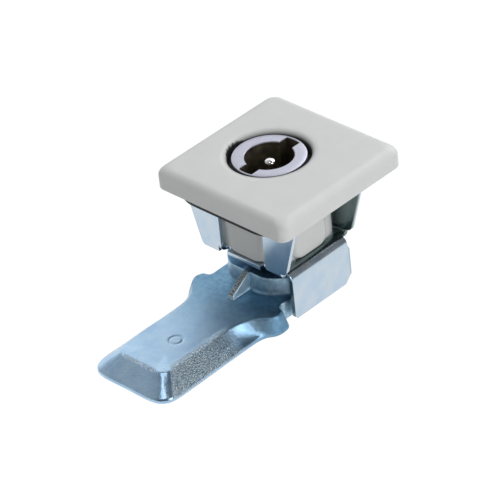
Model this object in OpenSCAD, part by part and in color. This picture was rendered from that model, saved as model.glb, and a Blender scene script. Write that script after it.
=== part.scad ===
// Square quarter-turn cam lock: a square flange on a square body, a round key insert
// that turns in it, a sheet-steel bracket that grips the panel and stops the cam, and
// a cast cam with an offset blade.
// Millimetres. The origin lies on the insert's turning axis, level with the flange's
// underside. +Z points out of the panel, the blade points along -Y, and the stop plate
// is on the +X side.

/* [Flange] */
// Side of the square flange
flange_side = 45; // [42:0.5:60]
// Thickness of the flange
flange_h = 6; // [5.5:0.1:8]
// Rounding of the flange's top edge
flange_round = 2.2; // [0.8:0.1:2.4]
// Plan radius of the flange's corners
flange_corner_r = 2.5; // [2.5:0.1:6]
// Distance of the flange's centre from the turning axis
flange_shift = 2.9; // [0:0.1:3.2]

/* [Gasket] */
// Thickness of the gasket under the flange
gasket_h = 3; // [1:0.1:4]
// Distance of the gasket's edge from the flange's edge
gasket_inset = 2.2; // [1:0.1:4]
// Plan radius of the gasket's corners
gasket_corner_r = 10; // [4:0.5:12]
// Distance of the gasket's centre from the turning axis
gasket_shift = 1.5; // [0.6:0.1:3]

/* [Housing body] */
// Width of the body across its flat sides
body_w = 22.6; // [22.4:0.1:27]
// Depth of the body below the flange
body_depth = 19.8; // [17:0.1:28]
// Plan radius of the body's corners
body_corner_r = 4; // [3:0.1:8.5]
// Width of the raised pad on each side of the body
pad_w = 14.3; // [10:0.1:15.2]
// Height of a pad above the body's flat side
pad_rise = 1; // [0.3:0.1:1.2]
// Plan radius of a pad's upright edges
pad_edge_r = 2.4; // [1.2:0.1:3]
// Radius of a pad's two lower corners
pad_corner_r = 2.8; // [0.5:0.1:4]
// Open gap round the insert at the mouth of the bore
mouth_gap = 0.8; // [0.3:0.1:1]
// Depth of that open gap below the flange's top
mouth_depth = 4; // [2:0.5:5]
// Rounding of the bore's mouth
mouth_round = 1; // [0.3:0.1:1.6]

/* [Key insert] */
// Diameter of the insert's head
head_d = 19.8; // [18:0.1:20]
// Distance of the insert's face below the flange's top
head_sink = 0.8; // [0.3:0.05:2]
// Depth of the head below the flange's underside
head_depth = 7; // [5:0.5:9]
// Diameter of the key socket
socket_d = 13.1; // [11:0.1:14]
// Width of the two key slots
slot_w = 4.5; // [3:0.1:4.7]
// Wall left outside the end of each key slot
slot_wall = 0.6; // [0.4:0.1:1.8]
// Metal left under the key socket
socket_floor = 2; // [1:0.1:4]
// Diameter of the centre pin
pin_d = 3; // [2:0.1:4]
// Distance of the pin's tip below the insert's face
pin_drop = 1.1; // [0.5:0.1:4]
// Length of the pin that is pressed into the insert
pin_seat = 4; // [2:0.5:5]
// Diameter of the journal that turns in the body
journal_d = 14; // [13.2:0.1:15]
// Radial running clearance of the insert in the body
run_gap = 0.05; // [0.02:0.01:0.09]
// Width across the flats of the square shank
shank_w = 9; // [7:0.1:9.2]
// Angle that the insert turns through
turn_deg = 90; // [60:5:120]

/* [Seal] */
// Thickness of the round sealing ring
seal_d = 1.4; // [1.2:0.1:1.8]
// Distance of the sealing ring below the insert's head
seal_depth = 5; // [3:0.5:7]

/* [Bracket] */
// Thickness of the sheet
sheet = 1.2; // [0.8:0.1:1.5]
// Thickness of the panel between the gasket and the bracket's wings
panel_t = 1.5; // [0.8:0.1:4]
// Gap between a pad's side and the wing beside it
wing_gap = 0.7; // [0.4:0.05:1.5]
// Width of a wing at its foot
wing_w = 7.4; // [5:0.05:8.5]
// Sideways lean of a wing's outer edge for each millimetre of height
wing_lean = 0.26; // [0:0.005:0.4]
// Radius of a wing's lower outer corner
wing_corner_r = 2.4; // [0.5:0.1:3]
// Width of the bend under each wing away from the stop plate; beside it the foot reaches down
wing_bend_w = 1.9; // [1:0.1:4]
// Inside radius of the wings' bends; a wing stands this far off the body's flat side
bend_r = 0.5; // [0.3:0.1:1]
// Inside radius of the stop plate's bend
stop_bend_r = 1.6; // [0.5:0.1:2]
// Width of the stop plate
stop_w = 21.8; // [16:0.2:22]
// Cut corner of the stop plate at its far top
stop_cut = 2.4; // [0.5:0.1:3]
// Radius of the relief notches beside the wings
relief_r = 1; // [0.6:0.05:1.4]
// Gap between the hub's swept circle and the stop plate
stop_gap = 0.3; // [0.3:0.1:1]
// Height of the stop plate's lower edge above the cam's underside
stop_rise = 0.5; // [0:0.1:2]

/* [Cam] */
// Diameter of the circle that the hub sweeps
hub_d = 27.2; // [25:0.2:28.4]
// Width of the hub across its flats
hub_w = 24.2; // [23:0.2:26]
// Height of the hub
hub_h = 10.6; // [8.5:0.1:14]
// Gap between the bracket and the hub
hub_gap = 2.9; // [2.7:0.1:6]
// Distance from the turning axis to the blade's tip
cam_reach = 58.4; // [50:0.1:90]
// Width of the blade at its foot
blade_w = 26.9; // [22:0.1:31]
// Width of the blade's flat top
crest_w = 18; // [14:0.1:20]
// Width between the scooped sides of the neck, at its top
neck_w = 17.4; // [13:0.1:19]
// Thickness of the blade
blade_t = 5.3; // [3:0.1:6]
// Height of the upright rim round the blade
rim_h = 1.2; // [0.4:0.1:1.8]
// Length of the slope at the blade's nose
nose_l = 5.5; // [3:0.1:9]
// Plan radius of the blade's tip corners
tip_r = 5; // [2:0.1:8]
// Distance of an ear's outer edge from the centre line
ear_reach = 16.2; // [15.6:0.1:19]
// Distance of the ears from the turning axis
ear_y = 16.8; // [16:0.1:19]
// Distance of the neck from the turning axis
neck_y = 29.4; // [27:0.2:32]
// Thickness of the rib
rib_t = 1.8; // [1:0.1:3]
// Length of the rib in front of the hub
rib_l = 7; // [4:0.1:9]
// Height of the rib's blunt outer end above the blade
rib_toe = 1.3; // [0.4:0.1:3]
// Diameter of the round casting mark on the blade
mark_d = 3.7; // [2:0.1:5]
// Distance of the casting mark from the turning axis
mark_y = 40.3; // [36:0.1:44]
// Sideways offset of the casting mark from the centre line
mark_x = 0.9; // [-3:0.1:3]

/* [Fasteners] */
// Diameter of the cam screw
cam_screw_d = 6; // [4:0.5:6]
// Length of the cam screw below its head
cam_screw_l = 12; // [10:0.5:16]
// Diameter of the cam screw's head
cam_head_d = 10; // [8.5:0.1:13]
// Height of the cam screw's head
cam_head_h = 4; // [3:0.1:6]
// Diameter of the flat washer under the cam
flat_washer_d = 14; // [12:0.1:18]
// Thickness of the flat washer under the cam
flat_washer_t = 1.2; // [0.8:0.1:2]
// Diameter of the split lock washer
lock_washer_d = 10.4; // [9:0.1:12]
// Thickness of the split lock washer
lock_washer_t = 1.6; // [1:0.1:2]
// Diameter of the bracket screws
small_screw_d = 3; // [2:0.1:3.4]
// Length of the bracket screws
small_screw_l = 10; // [6:0.5:12]
// Diameter of a bracket screw's countersunk head
small_head_d = 5.6; // [4.6:0.1:5.8]
// Distance of a bracket screw from each centre line
small_screw_at = 7.4; // [7.3:0.1:7.6]
// Outer diameter of the thrust washer
thrust_d = 17.2; // [16.2:0.1:17.4]
// Thickness of the thrust washer
thrust_t = 0.8; // [0.4:0.1:1]
// Thickness of the circlip
clip_t = 1.1; // [0.8:0.1:1.2]

/* [Hidden] */

$fn = 64;
// Segments of a corner inside a hull
hull_fn = 32;
// Overlap that joins two solids of one piece, and overshoot of a cut
eps = 0.5;
// Clearance of a screw in its hole
screw_gap = 0.05;
// Axial clearance between faces that slide on each other
slide_gap = 0.05;
// Clearance round the square shank and round the pressed pin
fit_gap = 0.05;
press_gap = 0.01;
// Clearance inside a washer, inside the bracket's hole and between gasket and body
washer_gap = 0.15;
plate_gap = 0.3;
gasket_gap = 0.3;
// Corner radius of the gasket's square hole
gasket_hole_r = 2;
// Distance of the shank's end above the cam's underside
shank_recess = 0.3;

// Flange and body
face_z = flange_h - head_sink;
body_bottom = -body_depth;
pad_face = body_w / 2 + pad_rise;

// Key insert
head_r = head_d / 2;
head_bottom = -head_depth + slide_gap;
journal_r = journal_d / 2;
bore_r = journal_r + run_gap;
head_bore_r = head_r + run_gap;
mouth_r = head_r + mouth_gap;
socket_bottom = head_bottom + socket_floor;
pin_top = face_z - pin_drop;
// Height of the pin's domed tip, and how far its spigot steps in below the shoulder
dome_h = pin_d * 0.3;
pin_step = 0.25;
pin_spigot_r = pin_d / 2 - pin_step;
// Turning stop under the head, and its clearances in the track
lug_h = 1.8;
lug_deg = 30;
lug_inset = 0.8;
lug_r = head_r - lug_inset;
lug_slack = 0.5;
track_side_gap = 0.15;
track_floor_gap = 0.2;

// Seal
seal_gap = 0.03;
seal_centre_r = bore_r - seal_gap - seal_d / 2;
seal_floor_r = seal_centre_r - seal_d / 2 - seal_gap;
seal_z = head_bottom - seal_depth;
seal_play = 0.5;
seal_groove_h = seal_d + seal_play;

// Bracket
wing_in = body_w / 2 + bend_r;
wing_out = wing_in + sheet;
wing_x = pad_w / 2 + wing_gap;
wing_top = -gasket_h - panel_t;
plate_top = body_bottom;
plate_bottom = plate_top - sheet;
stop_in = hub_d / 2 + stop_gap;
plate_hole_r = journal_r + plate_gap;
// Width of the slit between a wing's bend and its foot
slit = 0.25;

// Cam
hub_top = plate_bottom - hub_gap;
cam_bottom = hub_top - hub_h;
blade_top = cam_bottom + blade_t;
blade_half = blade_w / 2;
crest_half = crest_w / 2;
neck_half = neck_w / 2;
crest_end = cam_reach - nose_l;
shank_end = cam_bottom + shank_recess;

// Length of the rib's level top outside the hub, and how far the rib sinks into the blade
rib_flat = 0.5;
rib_root = 0.4;

// Washer and circlip between the bracket and the hub
thrust_top = plate_bottom - slide_gap;
clip_top = thrust_top - thrust_t - slide_gap;
clip_bottom = clip_top - clip_t;
clip_groove = 0.8;
clip_proud = 2.2;
clip_floor_r = journal_r - clip_groove;
clip_r = journal_r + clip_proud;

// Fasteners
cam_hole_r = cam_screw_d / 2 + screw_gap;
flat_washer_bottom = cam_bottom - flat_washer_t;
lock_washer_bottom = flat_washer_bottom - lock_washer_t;
cam_screw_top = lock_washer_bottom + cam_screw_l;
small_hole_r = small_screw_d / 2 + screw_gap;
small_head_h = (small_head_d - small_screw_d) / 2;

// A flat ring or disc between two heights
module ring(r_out, r_in, z0, z1) {
    translate([0, 0, z0])
        difference() {
            cylinder(r = r_out, h = z1 - z0);
            translate([0, 0, -eps])
                cylinder(r = r_in, h = z1 - z0 + 2 * eps);
        }
}

module disc(r, z0, z1) {
    translate([0, 0, z0])
        cylinder(r = r, h = z1 - z0);
}

// A square with round corners, as a flat outline
module round_square(side, r) {
    half = side / 2;
    square([side - 2 * r, side], center = true);
    square([side, side - 2 * r], center = true);
    for (sx = [-1, 1], sy = [-1, 1])
        translate([sx * (half - r), sy * (half - r)])
            circle(r = r);
}

// One corner post of the flange, with its rounded top edge
module flange_post() {
    r = flange_corner_r;
    f = flange_round;
    rotate_extrude($fn = hull_fn) {
        square([r, flange_h - f]);
        square([r - f, flange_h]);
        intersection() {
            translate([r - f, flange_h - f])
                circle(r = f);
            translate([0, flange_h - f])
                square([r, f]);
        }
    }
}

module flange_plate() {
    at = flange_side / 2 - flange_corner_r;
    translate([flange_shift, 0, 0])
        hull()
            for (sx = [-1, 1], sy = [-1, 1])
                translate([sx * at, sy * at, 0])
                    flange_post();
}

// One raised pad on the body's -Y side: round upright edges and round lower corners
module body_pad() {
    half = pad_w / 2;
    top = eps;
    intersection() {
        translate([0, 0, body_bottom])
            linear_extrude(top - body_bottom) {
                translate([-half + pad_edge_r, -pad_face])
                    square([pad_w - 2 * pad_edge_r, pad_face]);
                translate([-half, -pad_face + pad_edge_r])
                    square([pad_w, pad_face - pad_edge_r]);
                for (sx = [-1, 1])
                    translate([sx * (half - pad_edge_r), -pad_face + pad_edge_r])
                        circle(r = pad_edge_r);
            }
        rotate([90, 0, 0])
            linear_extrude(pad_face + eps) {
                translate([-half, body_bottom + pad_corner_r])
                    square([pad_w, top - body_bottom - pad_corner_r]);
                translate([-half + pad_corner_r, body_bottom])
                    square([pad_w - 2 * pad_corner_r, pad_corner_r]);
                for (sx = [-1, 1])
                    translate([sx * (half - pad_corner_r), body_bottom + pad_corner_r])
                        circle(r = pad_corner_r);
            }
    }
}

// A wedge of a ring that starts at one angle, used for the turning stop
module wedge(r, z0, z1, from_deg, span_deg) {
    translate([0, 0, z0])
        rotate([0, 0, from_deg])
            rotate_extrude(angle = span_deg)
                square([r, z1 - z0]);
}

// The round mouth of the bore, rolled outwards
module mouth_cut() {
    r = mouth_r + mouth_round;
    translate([0, 0, flange_h - mouth_round])
        rotate_extrude()
            difference() {
                square([r, mouth_round + eps]);
                translate([r, 0])
                    circle(r = mouth_round);
            }
}

module small_screw_hole(x, y) {
    translate([x, y, plate_bottom]) {
        cylinder(r = small_hole_r, h = small_screw_l + screw_gap);
        cylinder(r1 = small_head_d / 2 + screw_gap, r2 = small_hole_r, h = small_head_h);
    }
}

// Die-cast housing: flange, body with four pads, stepped bore and stop track
module housing() {
    color("#c9cbc9")
        difference() {
            union() {
                flange_plate();
                translate([0, 0, body_bottom])
                    linear_extrude(eps - body_bottom)
                        round_square(body_w, body_corner_r);
                for (a = [0, 90, 180, 270])
                    rotate([0, 0, a])
                        body_pad();
            }
            disc(bore_r, body_bottom - eps, 0);
            disc(head_bore_r, -head_depth, flange_h);
            disc(mouth_r, flange_h - mouth_depth, flange_h + eps);
            mouth_cut();
            wedge(lug_r + track_side_gap, head_bottom - lug_h - track_floor_gap, -head_depth + eps,
                  90 - lug_deg / 2 - turn_deg - lug_slack, lug_deg + turn_deg + 2 * lug_slack);
            small_screw_hole(-small_screw_at, -small_screw_at);
            small_screw_hole(small_screw_at, small_screw_at);
        }
}

// Rubber gasket under the flange, with an opening round the body
module flange_gasket() {
    side = flange_side - 2 * gasket_inset;
    hole = 2 * (pad_face + gasket_gap);
    color("#1b1b1c")
        translate([0, 0, -gasket_h])
            linear_extrude(gasket_h)
                difference() {
                    translate([gasket_shift, 0])
                        round_square(side, gasket_corner_r);
                    round_square(hole, gasket_hole_r);
                }
}

// Key insert: slotted head, stop lug, journal with two grooves, square shank
module key_insert() {
    color("#b9b9c4")
        difference() {
            union() {
                disc(head_r, head_bottom, face_z);
                disc(journal_r, hub_top, head_bottom);
                wedge(lug_r, head_bottom - lug_h, head_bottom, 90 - lug_deg / 2, lug_deg);
                translate([-shank_w / 2, -shank_w / 2, shank_end])
                    cube([shank_w, shank_w, hub_top - shank_end]);
            }
            disc(socket_d / 2, socket_bottom, face_z + eps);
            intersection() {
                translate([-slot_w / 2, -head_r, socket_bottom])
                    cube([slot_w, head_d, face_z + eps - socket_bottom]);
                disc(head_r - slot_wall, socket_bottom, face_z + eps);
            }
            disc(pin_spigot_r + press_gap, socket_bottom - pin_seat, socket_bottom + eps);
            ring(journal_r + eps, seal_floor_r, seal_z - seal_groove_h, seal_z);
            ring(journal_r + eps, clip_floor_r, clip_bottom - slide_gap, clip_top + slide_gap);
            disc(cam_hole_r, shank_end - eps, cam_screw_top + screw_gap);
        }
}

// Steel pin in the middle of the socket: pressed spigot, shoulder and domed tip
module centre_pin() {
    color("#e2e2e4") {
        disc(pin_spigot_r, socket_bottom - pin_seat + screw_gap, socket_bottom + pin_step);
        disc(pin_d / 2, socket_bottom, pin_top - dome_h);
        translate([0, 0, pin_top - dome_h])
            dome(pin_d / 2, dome_h);
    }
}

// A ball cap of base radius r and height h
module dome(r, h) {
    ball = (r * r + h * h) / (2 * h);
    rotate_extrude()
        intersection() {
            translate([0, h - ball])
                circle(r = ball);
            square([ball, h + eps]);
        }
}

// Round sealing ring in the journal's groove
module insert_seal() {
    color("#202022")
        translate([0, 0, seal_z - seal_groove_h / 2])
            rotate_extrude()
                translate([seal_centre_r, 0])
                    circle(r = seal_d / 2, $fn = hull_fn);
}

module thrust_washer() {
    color("#c8ccd2")
        ring(thrust_d / 2, journal_r + washer_gap, thrust_top - thrust_t, thrust_top);
}

// Open retaining ring in the journal's groove, with a wide mouth at the rear
module circlip() {
    mouth_deg = 60;
    color("#3b3d42")
        translate([0, 0, clip_bottom])
            rotate([0, 0, 90 + mouth_deg / 2])
                rotate_extrude(angle = 360 - mouth_deg)
                    translate([clip_floor_r + fit_gap, 0])
                        square([clip_r - clip_floor_r - fit_gap, clip_t]);
}

// One wing with the bend at its foot, on the +X side of the -Y edge
module wing(low) {
    outer = wing_x + wing_w;
    root = low ? wing_x + wing_bend_w : outer - wing_corner_r;
    top_of_bend = plate_top + bend_r;
    foot = low ? plate_bottom : top_of_bend;
    foot_x = outer + wing_lean * (foot - plate_bottom);
    inner = low ? [[root, top_of_bend], [root + slit, top_of_bend + slit],
                   [root + slit, foot]] : [];
    translate([0, -wing_in, 0])
        rotate([90, 0, 0])
            linear_extrude(sheet)
                difference() {
                    polygon(concat([[wing_x, top_of_bend]], inner,
                                   [[foot_x, foot],
                                    [outer + wing_lean * (wing_top - plate_bottom), wing_top],
                                    [wing_x, wing_top]]));
                    wing_foot_corner(foot_x, foot);
                }
    translate([wing_x, -wing_in + bend_r, top_of_bend])
        rotate([90, 0, 90])
            rotate([0, 0, 180])
                bend(root - wing_x, bend_r);
}

module wing_foot_corner(x, z) {
    r = wing_corner_r;
    difference() {
        translate([x - r, z - eps])
            square([2 * r, r + eps]);
        translate([x - r, z + r])
            circle(r = r);
    }
}

// A quarter bend of the sheet, of the given length along its axis and inside radius
module bend(length, r) {
    linear_extrude(length)
        intersection() {
            difference() {
                circle(r = r + sheet);
                circle(r = r);
            }
            square(r + sheet + eps);
        }
}

// Stop plate: bent down from the +X edge, with cut corners at its far end
module stop_plate() {
    half = stop_w / 2;
    top = plate_bottom - stop_bend_r;
    foot = cam_bottom + stop_rise;
    small_cut = stop_cut / 3;
    translate([stop_in - stop_bend_r, half, top])
        rotate([90, 0, 0])
            bend(stop_w, stop_bend_r);
    translate([stop_in, 0, 0])
        rotate([90, 0, 90])
            linear_extrude(sheet)
                polygon([[-half, top], [half - stop_cut / 4, top], [half, top - stop_cut / 2],
                         [half, foot + stop_cut], [half - stop_cut, foot],
                         [-half + small_cut, foot], [-half, foot + small_cut]]);
}

// Flat of the bracket under the body, with relief notches beside each bend
module bracket_flat() {
    edge = wing_in - bend_r + eps;
    side = stop_in - stop_bend_r;
    translate([0, 0, plate_bottom])
        linear_extrude(sheet)
            difference() {
                union() {
                    translate([-side, -edge])
                        square([side + wing_x + wing_w - wing_corner_r, 2 * edge]);
                    translate([-wing_x + 2 * relief_r, -wing_out])
                        square([2 * (wing_x - 2 * relief_r), 2 * wing_out]);
                    translate([0, -stop_w / 2])
                        square([side + eps / 10, stop_w]);
                }
                for (sx = [-1, 1], sy = [-1, 1])
                    translate([sx * (wing_x - relief_r), sy * wing_in])
                        circle(r = relief_r);
            }
}

// Sheet-steel bracket: flat, four wings that press on the panel, one stop plate
module bracket() {
    color("#a9bfd2")
        difference() {
            union() {
                bracket_flat();
                stop_plate();
                for (sx = [0, 1], sy = [0, 1])
                    mirror([sx, 0, 0])
                        mirror([0, sy, 0])
                            wing(sx == 1);
            }
            disc(plate_hole_r, plate_bottom - eps, plate_top + eps);
            small_screw_hole(-small_screw_at, -small_screw_at);
            small_screw_hole(small_screw_at, small_screw_at);
        }
}

// Countersunk screw that holds the bracket under the body
module small_screw(x, y) {
    slot = 0.8;
    color("#c4cad2")
        translate([x, y, plate_bottom])
            difference() {
                union() {
                    cylinder(r = small_screw_d / 2, h = small_screw_l);
                    cylinder(r1 = small_head_d / 2, r2 = small_screw_d / 2, h = small_head_h);
                }
                translate([-small_head_d, -slot / 2, -eps])
                    cube([2 * small_head_d, slot, eps + slot / 2]);
            }
}

module bracket_screw_front() {
    small_screw(-small_screw_at, -small_screw_at);
}

module bracket_screw_rear() {
    small_screw(small_screw_at, small_screw_at);
}

// Stations of the blade's right edge, from the hub to the tip. Each holds the foot
// point, the top point and how hollow the side is between them.
half_hub = hub_w / 2;
function station(foot_x, foot_y, top_x, top_y, hollow) =
    [foot_x, -foot_y, top_x, -top_y, hollow];
BLADE_EDGE = [
    station(half_hub - 1.6, hub_w / 4, half_hub - 2, hub_w / 4, 0),
    station(half_hub + 0.3, half_hub - 5.3, half_hub + 0.1, half_hub - 5.3, 0),
    station(half_hub + 0.5, half_hub - 0.8, half_hub + 0.3, half_hub - 0.8, 0),
    station(half_hub + 0.6, ear_y - 3.6, half_hub + 0.4, ear_y - 2.9, 0),
    station(ear_reach - 0.6, ear_y - 2.7, ear_reach - 2, ear_y - 2.2, 0),
    station(ear_reach, ear_y, ear_reach - 1.2, ear_y + 0.1, 0),
    station(ear_reach - 0.5, ear_y + 2.3, ear_reach - 2.3, ear_y + 2.4, 0),
    station(blade_half + 0.8, ear_y + 4.3, ear_reach - 4.2, ear_y + 4.2, 0.2),
    station(blade_half + 0.2, ear_y + 6.4, neck_half + 1.8, ear_y + 6.4, 0.6),
    station(blade_half, neck_y - 2.8, neck_half + 0.6, neck_y - 3.6, 0.9),
    station(blade_half, neck_y + 0.6, neck_half, neck_y, 1),
    station(blade_half, neck_y + 4.6, crest_half - 0.1, neck_y + 4.2, 0.5),
    station(blade_half, neck_y + 8.6, crest_half, neck_y + 8.2, 0),
    station(blade_half, crest_end - 6.6, crest_half - 0.2, crest_end - 6.6, 0),
    station(blade_half, cam_reach - tip_r, crest_half - 0.4, crest_end - 2.6, 0),
    station(blade_half - tip_r * 0.29, cam_reach - tip_r * 0.29, crest_half - 1.2,
            crest_end - 1, 0),
    station(blade_half - tip_r, cam_reach, crest_half - 3, crest_end, 0),
    station(0, cam_reach, 0, crest_end, 0)
];

// Smooth curve through stations b and c, with a and d on either side
function smooth(a, b, c, d, t) =
    0.5 * (2 * b + (c - a) * t + (2 * a - 5 * b + 4 * c - d) * t * t
           + (3 * b - a - 3 * c + d) * t * t * t);
edge_steps = 3;
last = len(BLADE_EDGE) - 1;
RIGHT_EDGE = [
    for (i = [0 : last - 1], k = [0 : edge_steps - 1])
        smooth(BLADE_EDGE[max(i - 1, 0)], BLADE_EDGE[i], BLADE_EDGE[i + 1],
               BLADE_EDGE[min(i + 2, last)], k / edge_steps),
    BLADE_EDGE[last]
];
half_count = len(RIGHT_EDGE);
// The whole edge: down the right side to the tip and back up the left side
WHOLE_EDGE = concat(RIGHT_EDGE, [for (i = [half_count - 2 : -1 : 0])
    let (s = RIGHT_EDGE[i]) [-s[0], s[1], -s[2], s[3], s[4]]]);
edge_count = len(WHOLE_EDGE);

// Share of the way from the foot to the top at height share t, on a side of given hollow
function side_share(t, hollow) = t <= 0 ? 0 : pow(t, 1 / (1 + max(hollow, 0)));
BLADE_LEVELS = [0, 0.25, 0.5, 0.75, 1];
slope_h = blade_t - rim_h;
BLADE_RINGS = concat(
    [[for (s = WHOLE_EDGE) [s[0], s[1], cam_bottom]]],
    [for (t = BLADE_LEVELS) [for (s = WHOLE_EDGE)
        let (m = side_share(t, s[4]))
        [s[0] + (s[2] - s[0]) * m, s[1] + (s[3] - s[1]) * m,
         cam_bottom + rim_h + slope_h * t]]]);
ring_count = len(BLADE_RINGS);

// Cast blade: one closed skin through the rings
module blade() {
    points = [for (ring = BLADE_RINGS) for (p = ring) p];
    top = (ring_count - 1) * edge_count;
    sides = [for (j = [0 : ring_count - 2], i = [0 : edge_count - 1])
        let (n = (i + 1) % edge_count, a = j * edge_count, b = a + edge_count)
        [a + i, a + n, b + n, b + i]];
    strips = [for (i = [0 : half_count - 2])
        let (m = edge_count - 1 - i) [i, i + 1, m - 1, m]];
    polyhedron(points = points,
               faces = concat(sides,
                   [for (f = strips) [f[3], f[2], f[1], f[0]]],
                   [for (f = strips) [for (k = f) top + k]]),
               convexity = 6);
}

// Three-sided rib from the hub's top edge down to the blade
module rib() {
    back = -hub_w / 2 + eps;
    rotate([90, 0, 90])
        translate([0, 0, -rib_t / 2])
            linear_extrude(rib_t)
                polygon([[back, hub_top], [-hub_w / 2 - rib_flat, hub_top],
                         [-hub_w / 2 - rib_l, blade_top + rib_toe],
                         [-hub_w / 2 - rib_l, blade_top - rib_root],
                         [back, blade_top - rib_root]]);
}

// Cast cam: hub with a square hole, blade, rib and casting mark
module cam() {
    hole = shank_w + 2 * fit_gap;
    mark_depth = 0.25;
    mark_line = 0.5;
    color("#9fb3c8")
        difference() {
            union() {
                translate([0, 0, cam_bottom])
                    intersection() {
                        cylinder(r = hub_d / 2, h = hub_h);
                        translate([-hub_w / 2, -hub_w / 2, 0])
                            cube([hub_w, hub_w, hub_h]);
                    }
                blade();
                rib();
            }
            translate([-hole / 2, -hole / 2, cam_bottom - eps])
                cube([hole, hole, hub_h + 2 * eps]);
            translate([mark_x, -mark_y, blade_top - mark_depth])
                ring(mark_d / 2, mark_d / 2 - mark_line, 0, eps);
        }
}

module cam_flat_washer() {
    color("#c4cad2")
        ring(flat_washer_d / 2, cam_hole_r + washer_gap, flat_washer_bottom, cam_bottom);
}

// Split ring under the screw's head
module cam_lock_washer() {
    split = 0.8;
    color("#a8adb5")
        difference() {
            ring(lock_washer_d / 2, cam_hole_r + washer_gap, lock_washer_bottom, flat_washer_bottom);
            translate([0, -split / 2, lock_washer_bottom - eps])
                cube([lock_washer_d, split, lock_washer_t + 2 * eps]);
        }
}

// Socket-head screw that holds the cam on the shank
module cam_screw() {
    hex_share = 0.48;
    hex_r = cam_screw_d * hex_share;
    hex_depth = cam_head_h / 2;
    head_bottom_z = lock_washer_bottom - cam_head_h;
    color("#c4cad2")
        difference() {
            union() {
                disc(cam_screw_d / 2, lock_washer_bottom - eps, cam_screw_top);
                disc(cam_head_d / 2, head_bottom_z, lock_washer_bottom);
            }
            translate([0, 0, head_bottom_z - eps])
                cylinder(r = hex_r, h = hex_depth + eps, $fn = 6);
        }
}

housing();
flange_gasket();
key_insert();
centre_pin();
insert_seal();
thrust_washer();
circlip();
bracket();
bracket_screw_front();
bracket_screw_rear();
cam();
cam_flat_washer();
cam_lock_washer();
cam_screw();
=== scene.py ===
import math

import bmesh
import bpy
import numpy as np
from mathutils import Matrix, Vector


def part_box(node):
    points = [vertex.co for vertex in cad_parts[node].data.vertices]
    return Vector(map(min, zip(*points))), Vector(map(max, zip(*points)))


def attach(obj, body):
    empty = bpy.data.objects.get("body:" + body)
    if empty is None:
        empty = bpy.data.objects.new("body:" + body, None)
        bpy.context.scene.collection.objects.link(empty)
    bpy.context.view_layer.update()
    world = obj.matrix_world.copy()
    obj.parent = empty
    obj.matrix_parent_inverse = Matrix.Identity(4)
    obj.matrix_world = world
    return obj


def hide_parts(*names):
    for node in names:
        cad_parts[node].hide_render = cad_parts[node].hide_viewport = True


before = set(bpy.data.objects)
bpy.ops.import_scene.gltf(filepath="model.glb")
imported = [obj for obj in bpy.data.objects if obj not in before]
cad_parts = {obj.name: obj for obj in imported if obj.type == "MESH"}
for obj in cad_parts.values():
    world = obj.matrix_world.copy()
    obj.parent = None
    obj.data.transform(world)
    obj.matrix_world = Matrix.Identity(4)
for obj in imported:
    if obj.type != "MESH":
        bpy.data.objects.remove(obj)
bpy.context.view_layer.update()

# Lengths below are in millimetres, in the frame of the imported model: +Z points out of
# the panel, the blade points along -Y, and the stop plate is on the +X side. Sizes that
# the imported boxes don't give follow the CAD model.
MM = 0.001
TAU = 2 * math.pi


def box_mm(node):
    """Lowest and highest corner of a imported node, in millimetres."""
    low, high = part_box(node)
    return np.array(low) / MM, np.array(high) / MM


housing_low, housing_high = box_mm("housing")
gasket_low, gasket_high = box_mm("flange_gasket")
insert_low, insert_high = box_mm("key_insert")
pin_low, pin_high = box_mm("centre_pin")
clip_low, clip_high = box_mm("circlip")
bracket_low, _ = box_mm("bracket")
cam_low, cam_high = box_mm("cam")
seal_low, seal_high = box_mm("insert_seal")

# Flange and body
flange_top = housing_high[2]
flange_half = (housing_high[1] - housing_low[1]) / 2
flange_mid = (housing_high[0] + housing_low[0]) / 2
gasket_mid = (gasket_high[0] + gasket_low[0]) / 2
edge_run, edge_rise = 2.5, 2.2
flange_corner_r = 2.5
body_bottom = housing_low[2]
body_half = 11.3
body_corner_r = 4.0
pad_half = 7.15
pad_face = 12.3
pad_edge_r = 2.4
pad_corner_r = 2.8
pad_lower_r = 0.4
mouth_floor = 2.0
head_bore_r = insert_high[0] + 0.05
head_bore_floor = -7.0
journal_bore_r = 7.05

# Key insert
face_z = insert_high[2]
head_r = insert_high[0]
head_bottom = -6.95
socket_r = 6.55
socket_floor = -4.95
slot_half = 2.25
slot_reach = 9.3
lug_r = 9.1
lug_half_deg = 15.0
lug_bottom = -8.75
journal_r = 7.0
shank_top = -23.9
shank_half = 4.5
shank_end = insert_low[2]
seal_mid = (seal_low[2] + seal_high[2]) / 2
seal_groove_r = 5.6
clip_floor_r = 6.2

# Bracket
sheet = 1.2
bend_r = 0.5
wing_inner = 7.85
wing_outer = 15.25
wing_lean = 0.26
wing_corner_r = 2.4
wing_top = -4.5
plate_top = body_bottom
plate_bottom = plate_top - sheet
stop_in = 13.9
stop_bend_r = 1.6
stop_half = 10.9
stop_cut = 2.4
stop_foot = bracket_low[2]
relief_r = 1.0
plate_hole_r = 7.3

# Where the blank's bends start, how much sheet each takes, and its half widths inside the wings
BEND_Y = body_half
BEND_X = stop_in - stop_bend_r
WING_BEND = (bend_r + sheet / 2) * math.pi / 2
STOP_BEND = (stop_bend_r + sheet / 2) * math.pi / 2
LOW_ROOT = wing_inner + 0.9
STRIP_HALF = wing_inner - relief_r

# Cam
cam_bottom = cam_low[2]
hub_top = cam_high[2]
hub_half = 12.1
hub_r = 13.6
blade_t = 5.3
rim_h = 1.2
blade_top = cam_bottom + blade_t
rib_half = 0.9
rib_toe = 19.1
rib_back = 12.6


# Mesh helpers

def new_object(name, data):
    """A new object in the scene."""
    made = bpy.data.objects.new(name, data)
    bpy.context.scene.collection.objects.link(made)
    return made


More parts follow.
